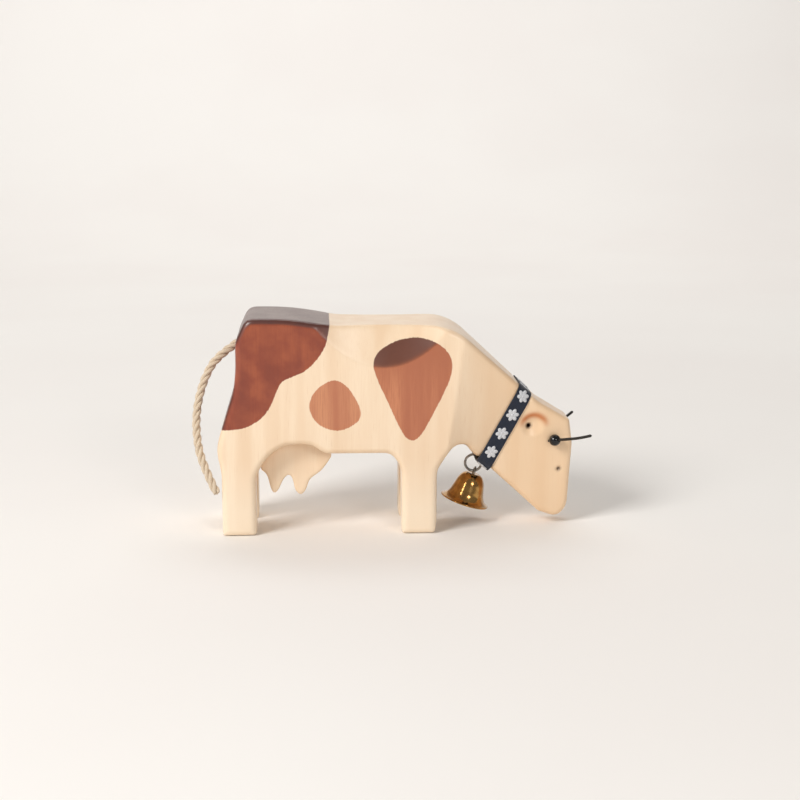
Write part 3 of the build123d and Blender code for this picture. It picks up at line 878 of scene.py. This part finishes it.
# Painted shade in the ear hole and the nostril.
wood = mix(tree, kept_value(tree, "hole_shade"), wood, HOLE_SHADE_BROWN)
join(tree, shader, wood, worn_roughness(tree, cloud, 0.34, 0.46), grain["Fibres"], GRAIN_BUMP, GRAIN_DEPTH)
add_piece("carved_cow", body_mesh, body_wood, "cow", "lime_wood", "carved_body")

# %% Udder finish
udder_wood, tree, shader = finish("udder_lime", Specular_IOR_Level=0.5, Coat_Weight=0.12, Coat_Roughness=0.3)
wood, grain = bare_wood(tree)
udder_satin = ramp(tree, grain["Fibres"], 0.3, 0.7, 0.36, 0.46)
join(tree, shader, wood, udder_satin, grain["Fibres"], GRAIN_BUMP, GRAIN_DEPTH)
add_piece("udder_board", udder_mesh, udder_wood, "cow", "lime_wood", "udder")

# %% [markdown]
# ## Collar ribbon
# The collar is a narrow woven ribbon, dark navy with a row of white flowers, glued round the neck. A strap as
# thin as this is modelled directly: its section at each edge is read from the measured collar, a rounded
# rectangle, and the strap is a fine grid between the two sections with a ribbed weave and firm selvedges.

# %% Ribbon path, read from the measured collar
COLLAR_CENTRE = Vector((31.446, 0, 32.2)) * MM
COLLAR_LEAN = math.radians(29)
RIBBON_WIDTH = 5.0 * MM
RIBBON_THICKNESS = 0.4 * MM
RIBBON_CORNER = 3.7 * MM
RIBBON_EDGE_SHARE = 0.49
LOOP_STEPS = 380
collar_along = Vector((math.cos(COLLAR_LEAN), 0, -math.sin(COLLAR_LEAN)))
collar_up = Vector((math.sin(COLLAR_LEAN), 0, math.cos(COLLAR_LEAN)))


def collar_edge(side):
    """Half width, top and bottom of the measured collar at one of its edges."""
    offsets = [vertex.co - COLLAR_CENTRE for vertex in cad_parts["collar_ribbon"].data.vertices]
    limit = RIBBON_WIDTH * RIBBON_EDGE_SHARE
    edge = [offset for offset in offsets if side * offset.dot(collar_along) > limit]
    rises = [offset.dot(collar_up) for offset in edge]
    return max(abs(offset.y) for offset in edge), max(rises), min(rises)


def rounded_loop(half, top, bottom):
    """Points and outward directions, evenly spaced round a rounded rectangle, and its girth."""
    wide = half - RIBBON_CORNER
    low = bottom + RIBBON_CORNER
    high = top - RIBBON_CORNER
    starts = [(0, low), (wide, low), (wide, high), (-wide, high), (-wide, low)]
    runs = [wide, high - low, 2 * wide, high - low, wide]
    corner = QUARTER * RIBBON_CORNER
    girth = sum(runs) + 4 * corner
    points = []
    for step in range(LOOP_STEPS):
        left = girth * step / LOOP_STEPS
        side = 0
        while side < 4 and left > runs[side] + corner:
            left -= runs[side] + corner
            side += 1
        straight = min(left, runs[side])
        facing = QUARTER * (side - 1)
        turn = facing + (left - straight) / RIBBON_CORNER
        normal = (math.cos(turn), math.sin(turn))
        y = starts[side][0] - straight * math.sin(facing) + RIBBON_CORNER * normal[0]
        z = starts[side][1] + straight * math.cos(facing) + RIBBON_CORNER * normal[1]
        points.append(((y, z), normal))
    return points, girth


rear_loop, rear_girth = rounded_loop(*collar_edge(-1))
front_loop, front_girth = rounded_loop(*collar_edge(1))
print("ribbon girth in mm", round(rear_girth / MM, 1), round(front_girth / MM, 1))

# %% Ribbon strap
ACROSS_STEPS = 24
WEAVE_DEPTH = 0.012 * MM
SELVEDGE_DEPTH = 0.04 * MM


def on_collar(share, rear, front, lift=0.0):
    """A point of the collar's outer face: share runs from its rear edge to its front edge."""
    (rear_place, rear_out), (front_place, _) = rear, front
    y = rear_place[0] + share * (front_place[0] - rear_place[0]) + lift * rear_out[0]
    z = rear_place[1] + share * (front_place[1] - rear_place[1]) + lift * rear_out[1]
    return COLLAR_CENTRE + collar_along * ((share - 0.5) * RIBBON_WIDTH) + SIDEWAYS * y + collar_up * z


def weave_lift(step, column):
    """The height of the outer face at one crossing of the weave: up, down, and a firm selvedge."""
    lift = 0 if (step + column) % 2 else -2 * WEAVE_DEPTH
    return lift + (SELVEDGE_DEPTH if column in (1, ACROSS_STEPS - 1) else 0)


ribbon_rows = []
ribbon_map = []
there_and_back = [*range(ACROSS_STEPS + 1), *range(ACROSS_STEPS, -1, -1)]
for step, (rear, front) in enumerate(zip(rear_loop, front_loop)):
    lifts = [weave_lift(step, column) for column in range(ACROSS_STEPS + 1)]
    lifts += [-RIBBON_THICKNESS] * (ACROSS_STEPS + 1)
    ribbon_rows.append(
        [on_collar(column / ACROSS_STEPS, rear, front, lift) for column, lift in zip(there_and_back, lifts)]
    )
    ribbon_map += [(step, column) for column in there_and_back]
ribbon_mesh = grid_mesh("collar_ribbon", ribbon_rows, closed_along=True)
mean_girth = (rear_girth + front_girth) / 2
ribbon_steps, ribbon_columns = np.array(ribbon_map).T
keep_value(ribbon_mesh, "along", ribbon_steps * mean_girth / MM / LOOP_STEPS)
keep_value(ribbon_mesh, "across", ribbon_columns * RIBBON_WIDTH / MM / ACROSS_STEPS)
print("ribbon", len(ribbon_mesh.polygons), "faces")

# %% Ribbon finish
NAVY = colour(24, 34, 54)
NAVY_DEEP = colour(14, 21, 36)
NAVY_PAINTED_SHEEN = colour(46, 58, 80)
ribbon_cloth, tree, shader = finish("navy_ribbon", Roughness=0.62, Specular_IOR_Level=0.35, Sheen_Weight=0.2)
ribbon_sockets = {0: kept_value(tree, "along"), 1: kept_value(tree, "across")}
ribbon_place = node(tree, "ShaderNodeCombineXYZ", ribbon_sockets).outputs[0]
threads = place_group(tree, spun_thread, Vector=ribbon_place, Fibres=3.2, Stray=0.6)
navy = mix(tree, threads["Tone"], NAVY, NAVY_DEEP)
# The raised threads get a painted sheen.
navy = mix(tree, ramp(tree, threads["Fibre"], 0.5, 1.0, to_high=0.35), navy, NAVY_PAINTED_SHEEN)
join(tree, shader, navy, height=threads["Fibre"], bump=0.3)
add_piece("ribbon_strap", ribbon_mesh, ribbon_cloth, "cow", "woven_ribbon", "collar_ribbon")

# %% [markdown]
# The flowers are raised white embroidery, one after another along the ribbon. One flower is modelled from
# rounded petals, and Geometry Nodes set it on points that lie along the strap, turned with the strap.

# %% One embroidered flower
PETALS = 6
PETAL_REACH = 2.0 * MM
PETAL_HALF_WIDTH = 0.66 * MM
PETAL_HEIGHT = 0.15 * MM
PETAL_CENTRE_SHARE = 0.58
PETAL_HALF_LENGTH_SHARE = 0.46
HEART_RADIUS = 0.5 * MM
HEART_LIFT_SHARE = 0.4
PAD_RINGS = 7
PAD_SIDES = 8
PAD_END_SHARE = 0.15


def pad_rows(centre, along, half_length, half_width, half_height):
    """Rings of points on a flat rounded pad that lies along a direction."""
    beside = UP.cross(along)
    rows = []
    for ring in range(PAD_RINGS):
        swing = math.pi * (ring + PAD_END_SHARE) / (PAD_RINGS - 1 + 2 * PAD_END_SHARE) - QUARTER
        middle = centre + along * half_length * math.sin(swing)
        wide = beside * half_width * math.cos(swing)
        tall = UP * half_height * math.cos(swing)
        rows.append([middle + wide * math.cos(turn) + tall * math.sin(turn) for turn in turns_of(PAD_SIDES)])
    return rows


flower_pads = []
for turn in turns_of(PETALS):
    out = Vector((math.cos(turn), math.sin(turn), 0))
    petal_centre = out * PETAL_REACH * PETAL_CENTRE_SHARE
    petal_half_length = PETAL_REACH * PETAL_HALF_LENGTH_SHARE
    flower_pads.append(pad_rows(petal_centre, out, petal_half_length, PETAL_HALF_WIDTH, PETAL_HEIGHT))
heart_centre = UP * PETAL_HEIGHT * HEART_LIFT_SHARE
flower_pads.append(pad_rows(heart_centre, Vector((1, 0, 0)), HEART_RADIUS, HEART_RADIUS, PETAL_HEIGHT))
gather = bmesh.new()
for rows in flower_pads:
    gather.from_mesh(grid_mesh("pad", rows, caps=True))
flower_mesh = bpy.data.meshes.new("flower")
gather.to_mesh(flower_mesh)
gather.free()
flower = worker_object("flower", flower_mesh)
print("one flower", len(flower_mesh.polygons), "faces")


# %% Geometry Nodes: lay one shape along a path
def named_vector(tree, name):
    """A vector that the points of a mesh keep."""
    return node(tree, "GeometryNodeInputNamedAttribute", {"Name": name}, data_type="FLOAT_VECTOR").outputs[0]


lay = bpy.data.node_groups.new("lay_along", "GeometryNodeTree")
lay_names, given, put = tree_inputs(lay, ("Shape", "NodeSocketObject"), ("Finish", "NodeSocketMaterial"))
align = "FunctionNodeAlignRotationToVector"
facing = node(lay, align, {"Vector": named_vector(lay, "face_out")}, axis="Z").outputs[0]
along_sockets = {"Rotation": facing, "Vector": named_vector(lay, "lie_along")}
turned = node(lay, align, along_sockets, axis="X", pivot_axis="Z").outputs[0]
laid_shape = node(lay, "GeometryNodeObjectInfo", {"Object": given["Shape"]}).outputs["Geometry"]
laid_sockets = {"Points": given["Geometry"], "Instance": laid_shape, "Rotation": turned}
laid = node(lay, "GeometryNodeInstanceOnPoints", laid_sockets).outputs[0]
put_out(lay, laid, given["Finish"], put["Geometry"])
print("lay tree with", len(lay.nodes), "nodes")

# %% Places of the flowers along the ribbon
FLOWER_COUNT = 13
FLOWER_RISE = 4.3 * MM
NEAR_FACING = -0.99
near_side = [step for step in range(LOOP_STEPS) if rear_loop[step][1][0] < NEAR_FACING]


def rise_miss(step):
    """How far the middle of the ribbon is, at one step, from the first flower's rise, counted twice."""
    return abs(rear_loop[step][0][1] + front_loop[step][0][1] - 2 * FLOWER_RISE)


first_step = min(near_side, key=rise_miss)
spot_places = []
spot_vectors = {"face_out": [], "lie_along": []}
for index in range(FLOWER_COUNT):
    step = round(first_step + index * LOOP_STEPS / FLOWER_COUNT) % LOOP_STEPS
    after = (step + 1) % LOOP_STEPS
    edges = (rear_loop[step], front_loop[step])
    here = on_collar(0.5, *edges)
    ahead = (on_collar(0.5, rear_loop[after], front_loop[after]) - here).normalized()
    wide = on_collar(1, *edges) - on_collar(0, *edges)
    spot_places.append(here)
    spot_vectors["face_out"].append(ahead.cross(wide).normalized())
    spot_vectors["lie_along"].append(ahead)
spot_mesh = bpy.data.meshes.new("flower_spots")
spot_mesh.from_pydata(spot_places, [], [])
for name, vectors in spot_vectors.items():
    flat = [value for vector in vectors for value in vector]
    spot_mesh.attributes.new(name, "FLOAT_VECTOR", "POINT").data.foreach_set("vector", flat)
print("flower spots", len(spot_places), "from step", first_step)

# %% White thread and the finished flowers
THREAD_WHITE = colour(236, 236, 238)
THREAD_PAINTED_SHADE = colour(196, 198, 204)
white_thread, tree, shader = finish("white_thread", Roughness=0.7, Specular_IOR_Level=0.3, Sheen_Weight=0.3)
stitches = place_group(tree, spun_thread, Vector=in_millimetres(tree), Fibres=3.0, Stray=1.0)
# The low parts of the stitches get a painted shade.
white = mix(tree, ramp(tree, stitches["Fibre"], 0.2, 0.9), THREAD_PAINTED_SHADE, THREAD_WHITE)
join(tree, shader, white, height=stitches["Fibre"], bump=0.4)
flowers_mesh = grown_mesh(spot_mesh, lay, lay_names, Shape=flower, Finish=white_thread)
bpy.data.objects.remove(flower)
add_piece("ribbon_flowers", flowers_mesh, white_thread, "cow", "woven_ribbon")

# %% [markdown]
# ## Bead eyes and wire horns
# Each eye is a black glass bead on the horn's wire, which is pushed through the bead into the head. The bead
# is turned on a lathe, with soft lips at its bore. The horn is stiff wire with a gentle upward bend and a
# rounded tip.

# %% Glass bead and black wire finishes
WIRE_DEPTH = 0.03 * MM
GLASS_DEPTH = 0.02 * MM
black_glass, tree, shader = finish(
    "black_glass", Specular_IOR_Level=0.45, Coat_Weight=0.15, Coat_Roughness=0.05
)
wear = worn(tree, 0.8, 6.0)
glass = mix(tree, wear["Blotches"], colour(9, 10, 12), colour(14, 15, 18))
join(tree, shader, glass, worn_roughness(tree, wear, 0.06, 0.16), wear["Height"], 0.03, GLASS_DEPTH)

black_wire, tree, shader = finish("black_wire", Metallic=0.7, Specular_IOR_Level=0.5)
wear = worn(tree, 1.0, 8.0)
wire = mix(tree, wear["Hairlines"], colour(48, 46, 44), colour(74, 71, 67))
join(tree, shader, wire, ramp(tree, wear["Blotches"], 0, 1, 0.34, 0.52), wear["Height"], 0.1, WIRE_DEPTH)
print("finishes:", black_glass.name, black_wire.name)

# %% Shapes of a bead and a horn
HORN_FORWARD = math.radians(45)
HORN_RISE = math.radians(12)
HORN_ROOT = 7.0 * MM
HORN_STRAIGHT = 6.0 * MM
HORN_TIP = 8.0 * MM
HORN_TIP_RISE = 0.6 * MM
HORN_RADIUS = 0.45 * MM
HORN_STEPS = 12
HORN_SIDES = 20
TIP_STEPS = 5
TIP_POINT_SHARE = 0.02
BORE_RADIUS = 0.5 * MM
LIP_DEPTH = 0.06 * MM
LIP_TURN_SHARE = 1.25
BEAD_STEPS = 28
BEAD_SIDES = 48


def bead_rows(centre, radius, line):
    """Rings of points on a round bead with a soft lip at each end of its bore."""
    place = Matrix.Translation(centre) @ line.to_track_quat("Z", "Y").to_matrix().to_4x4()
    lip_turn = math.asin(BORE_RADIUS / radius) * LIP_TURN_SHARE
    lip_level = radius * math.cos(lip_turn) - LIP_DEPTH
    swings = [lip_turn + (math.pi - 2 * lip_turn) * share for share in shares_of(BEAD_STEPS)]
    ball = [(radius * math.sin(swing), radius * math.cos(swing)) for swing in swings]
    return lathe_rows([(BORE_RADIUS, lip_level), *ball, (BORE_RADIUS, -lip_level)], place, BEAD_SIDES)


def horn_rows(centre, line):
    """Rings of points along a horn: straight through the bead, then bent upwards to a rounded tip."""
    bend = centre + line * HORN_STRAIGHT
    middle = bend + line * HORN_TIP / 2
    tip = bend + line * HORN_TIP + UP * HORN_TIP_RISE
    curve = [bend.lerp(middle, share).lerp(middle.lerp(tip, share), share) for share in shares_of(HORN_STEPS)]
    end = (curve[-1] - curve[-2]).normalized()
    tip_centre = curve[-1] - end * HORN_RADIUS
    points = [centre - line * HORN_ROOT, centre, *curve[:-1], tip_centre]
    radii = [HORN_RADIUS] * len(points)
    for share in shares_of(TIP_STEPS)[1:]:
        points.append(tip_centre + end * HORN_RADIUS * math.sin(QUARTER * share))
        radii.append(HORN_RADIUS * max(math.cos(QUARTER * share), TIP_POINT_SHARE))
    return tube_rows(points, radii, HORN_SIDES)


# %% Beads and horns on both sides
for side, sign in (("right", -1), ("left", 1)):
    low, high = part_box(f"{side}_eye_bead")
    centre = (low + high) / 2
    forward = math.cos(HORN_RISE) * math.cos(HORN_FORWARD)
    outwards = math.cos(HORN_RISE) * math.sin(HORN_FORWARD)
    line = Vector((forward, sign * outwards, math.sin(HORN_RISE)))
    bead_mesh = grid_mesh("bead", bead_rows(centre, (high.z - low.z) / 2, line), closed_along=True)
    add_piece(f"{side}_bead", bead_mesh, black_glass, "cow", "black_bead", f"{side}_eye_bead")
    horn_mesh = grid_mesh("horn", horn_rows(centre, line), caps=True)
    add_piece(f"{side}_horn_wire", horn_mesh, black_wire, "cow", "horn_wire", f"{side}_horn")

# %% [markdown]
# ## Bell
# A jump ring of steel wire goes through the ribbon, with the joint of its two ends at one side. The bell
# hangs from it on a staple: thin spun brass under clear lacquer, with a round dome and a flared mouth. Inside,
# a small ball on a wire eye is the clapper. The bell is turned on a lathe, outside and inside in one profile.

# %% Steel and brass finishes
HAIRLINE_SHARE = 0.3
BRASS_LIGHT = colour(196, 150, 78)
BRASS_DULL = colour(166, 121, 60)
BRASS_HAIRLINE = colour(146, 100, 44)
bright_steel, tree, shader = finish("steel_wire", Metallic=1.0)
wear = worn(tree, 0.7, 7.0)
steel = mix(tree, wear["Blotches"], colour(176, 172, 166), colour(134, 130, 124))
join(tree, shader, steel, worn_roughness(tree, wear, 0.2, 0.4), wear["Height"], 0.08, WIRE_DEPTH)

spun_brass, tree, shader = finish("spun_brass", Metallic=1.0, Coat_Weight=0.6, Coat_Roughness=0.2)
wear = worn(tree, 0.35, 5.0)
brass = mix(tree, wear["Blotches"], BRASS_LIGHT, BRASS_DULL)
brass = mix(tree, part_of(tree, wear["Hairlines"], HAIRLINE_SHARE), brass, BRASS_HAIRLINE)
join(tree, shader, brass, worn_roughness(tree, wear, 0.12, 0.22), wear["Height"], 0.04, WIRE_DEPTH)
print("finishes:", bright_steel.name, spun_brass.name)

# %% Jump ring, measured on its solid
ring_low, ring_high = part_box("bell_ring")
ring_centre = (ring_low + ring_high) / 2
RING_WIRE = (ring_high.y - ring_low.y) / 2
RING_RADIUS = (ring_high.x - ring_low.x) / 2 - RING_WIRE
RING_JOINT = math.radians(160)
RING_SLIT = 0.07 * MM / RING_RADIUS
RING_STEPS = 72
RING_SIDES = 18
ring_rows = []
for share in shares_of(RING_STEPS):
    turn = RING_JOINT + RING_SLIT + (math.tau - 2 * RING_SLIT) * share
    spoke = Vector((math.cos(turn), 0, math.sin(turn)))
    row = []
    for swing in turns_of(RING_SIDES):
        out = spoke * (RING_RADIUS + RING_WIRE * math.cos(swing))
        row.append(ring_centre + out + SIDEWAYS * RING_WIRE * math.sin(swing))
    ring_rows.append(row)
ring_mesh = grid_mesh("ring", ring_rows, caps=True)
add_piece("jump_ring", ring_mesh, bright_steel, "ring", "steel_wire", "bell_ring")

# %% Bell profile, as radius and level below the hanging point in millimetres
BELL_PROFILE = [
    (0, -0.95), (1.1, -0.95), (2.2, -0.97), (3.35, -1.73), (4.25, -3.29), (4.7, -4.85), (5.04, -6.1),
    (5.4, -7.45), (6.09, -8.77), (6.87, -9.44), (7.6, -9.76),
]
BELL_WALL = 0.5
BELL_STEPS = 5
LIP_STEPS = 8
INSIDE_START = 0.2


def inner_wall(outer):
    """A profile moved inwards by the bell's wall, without its two ends."""
    inner = []
    for before, here, after in zip(outer, outer[1:], outer[2:]):
        ahead = (after - before) / np.hypot(*(after - before))
        inner.append(here + BELL_WALL * np.array((ahead[1], -ahead[0])))
    return inner


def round_lip(first, last):
    """Points on the half circle that leads from the outer edge of the mouth to the inner one."""
    hub = (first + last) / 2
    x, z = first - hub
    points = []
    for share in shares_of(LIP_STEPS)[1:-1]:
        cosine = math.cos(-math.pi * share)
        sine = math.sin(-math.pi * share)
        points.append(hub + np.array((x * cosine - z * sine, x * sine + z * cosine)))
    return points


outer = smooth_line(BELL_PROFILE, BELL_STEPS)
inner = inner_wall(outer)
lip = round_lip(outer[-1], inner[-1])
inside = [point for point in reversed(inner) if point[0] > INSIDE_START]
crown_inside = np.array((0, BELL_PROFILE[0][1] - BELL_WALL))
bell_profile = [(max(radius, 0) * MM, level * MM) for radius, level in [*outer, *lip, *inside, crown_inside]]
print("bell profile", len(bell_profile), "points")

# %% Bell shell
BELL_HANG = Vector((22.8079, 0, 16.2253)) * MM
BELL_LEAN = math.radians(18)
BELL_SIDES = 96
bell_up = Vector((math.sin(BELL_LEAN), 0, math.cos(BELL_LEAN)))
bell_across = Vector((math.cos(BELL_LEAN), 0, -math.sin(BELL_LEAN)))
bell_place = Matrix((bell_across, SIDEWAYS, bell_up)).transposed().to_4x4()
bell_place.translation = BELL_HANG
bell_mesh = grid_mesh("bell", lathe_rows(bell_profile, bell_place, BELL_SIDES))
add_piece("brass_bell", bell_mesh, spun_brass, "bell", "bell_brass", "bell_shell")


# %% Staple and clapper
def smooth_copy(solid):
    """A joined copy of a solid's mesh, shaded smooth."""
    mesh = merged_mesh(solid)
    mesh.shade_smooth()
    return mesh


add_piece("crown_staple", smooth_copy("bell_staple"), bright_steel, "bell", "steel_wire", "bell_staple")
add_piece("clapper_ball", smooth_copy("bell_clapper"), bright_steel, "clapper", "steel_wire", "bell_clapper")
